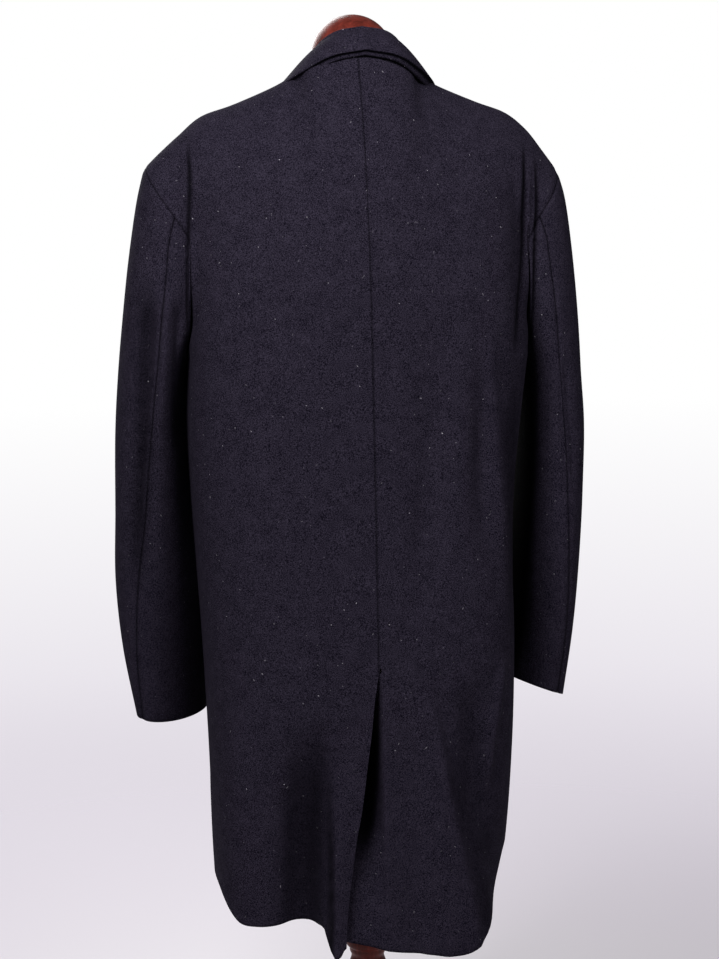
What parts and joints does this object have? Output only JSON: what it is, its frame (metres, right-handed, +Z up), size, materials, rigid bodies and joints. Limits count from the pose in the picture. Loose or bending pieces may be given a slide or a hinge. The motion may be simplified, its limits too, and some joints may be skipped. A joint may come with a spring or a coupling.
{
  "type": "wool coat on dress form",
  "caption": "Long dark wool overcoat with a turned-down collar, two-piece sleeves and a back vent, filled out on a limbless dress form with a turned wooden stand.",
  "frame": {"origin": "middle of the stand's underside, on the floor", "axes": "+Z up along the stand, -Y out of the coat's front, +X to the wearer's left"},
  "size_m": [0.5723, 0.38, 1.5479],
  "materials": {
    "wool": "matte napped wool",
    "button": "satin",
    "jersey": "matte jersey",
    "wood": "varnished"
  },
  "bodies": {
    "root": {"back_left": "wool", "front_left": "wool", "sleeve_upper_left": "wool", "sleeve_under_left": "wool", "lapel_left": "wool", "back_right": "wool", "front_right": "wool", "sleeve_upper_right": "wool", "sleeve_under_right": "wool", "lapel_right": "wool", "collar_stand": "wool", "collar_fall": "wool", "button_1": "button", "button_2": "button", "button_3": "button", "form_torso": "jersey", "neck_cap": "wood", "stand_post": "wood", "stand_base": "wood"}
  },
  "joints": []
}
